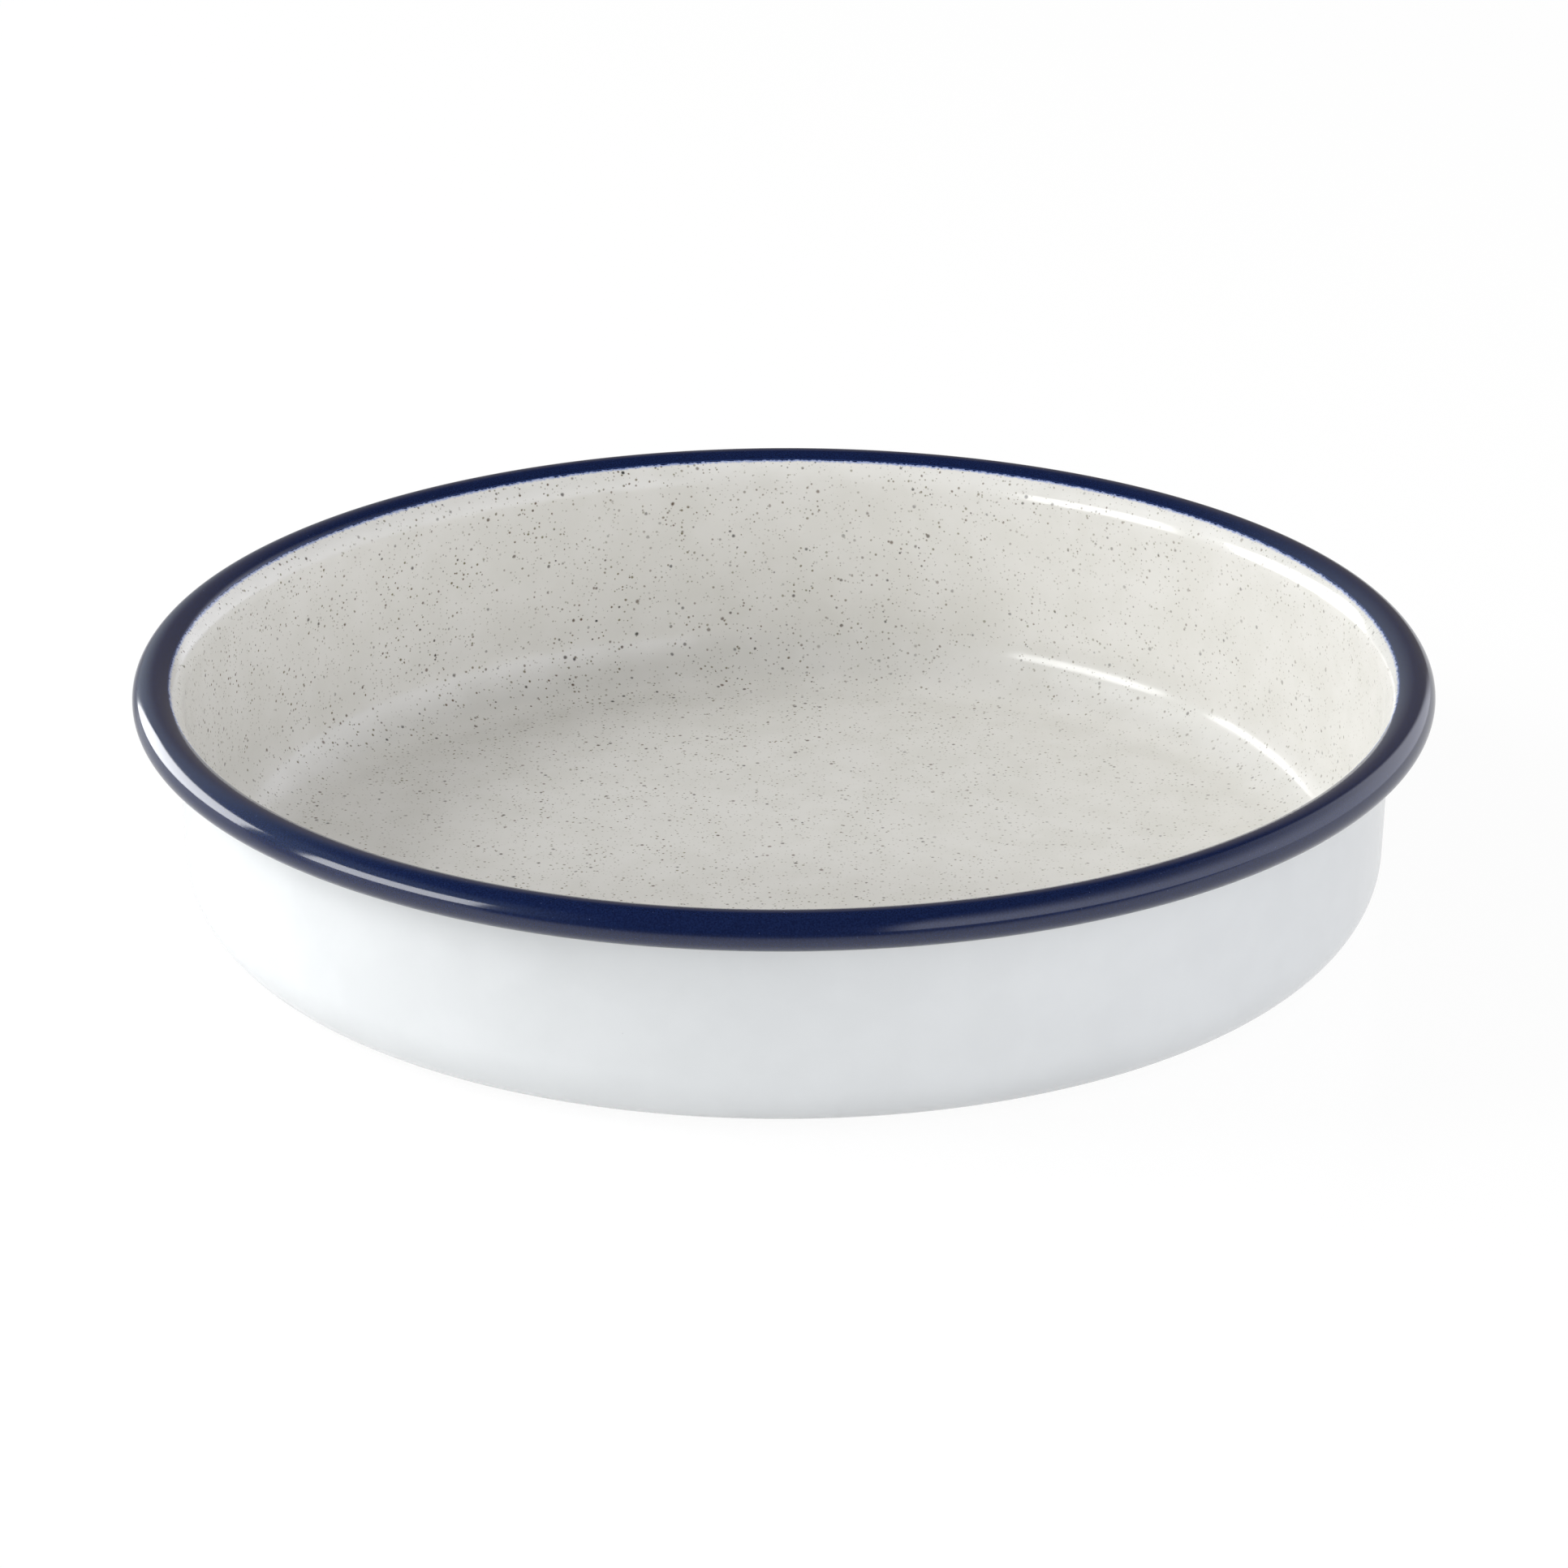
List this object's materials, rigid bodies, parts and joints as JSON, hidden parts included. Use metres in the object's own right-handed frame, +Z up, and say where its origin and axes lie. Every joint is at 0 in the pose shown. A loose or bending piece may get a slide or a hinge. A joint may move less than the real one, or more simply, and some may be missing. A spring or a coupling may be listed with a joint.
{
  "type": "baking dish",
  "caption": "Round shallow baking dish in enamelled sheet steel: flat base, slightly flared wall, thick rolled blue rim, white outside and speckled white inside.",
  "frame": {"origin": "middle of the flat underside, on the surface that the dish stands on", "axes": "+Z up along the dish's axis of rotation, out of its mouth; +X and +Y are free, since the dish is round; -Y faces the picture's camera"},
  "size_m": [0.26, 0.26, 0.05],
  "materials": {
    "sheet_steel": "bare cold-rolled sheet, all of it under enamel",
    "dark_ground_enamel": "dark fired ground coat",
    "speckled_white_enamel": "glossy white with fine brown and grey specks",
    "plain_white_enamel": "glossy white",
    "blue_enamel": "glossy cobalt blue"
  },
  "bodies": {
    "root": {"steel_pan": "sheet_steel", "ground_coat": "dark_ground_enamel", "inner_enamel": "speckled_white_enamel", "outer_enamel": "plain_white_enamel", "rim_enamel": "blue_enamel"}
  },
  "joints": []
}
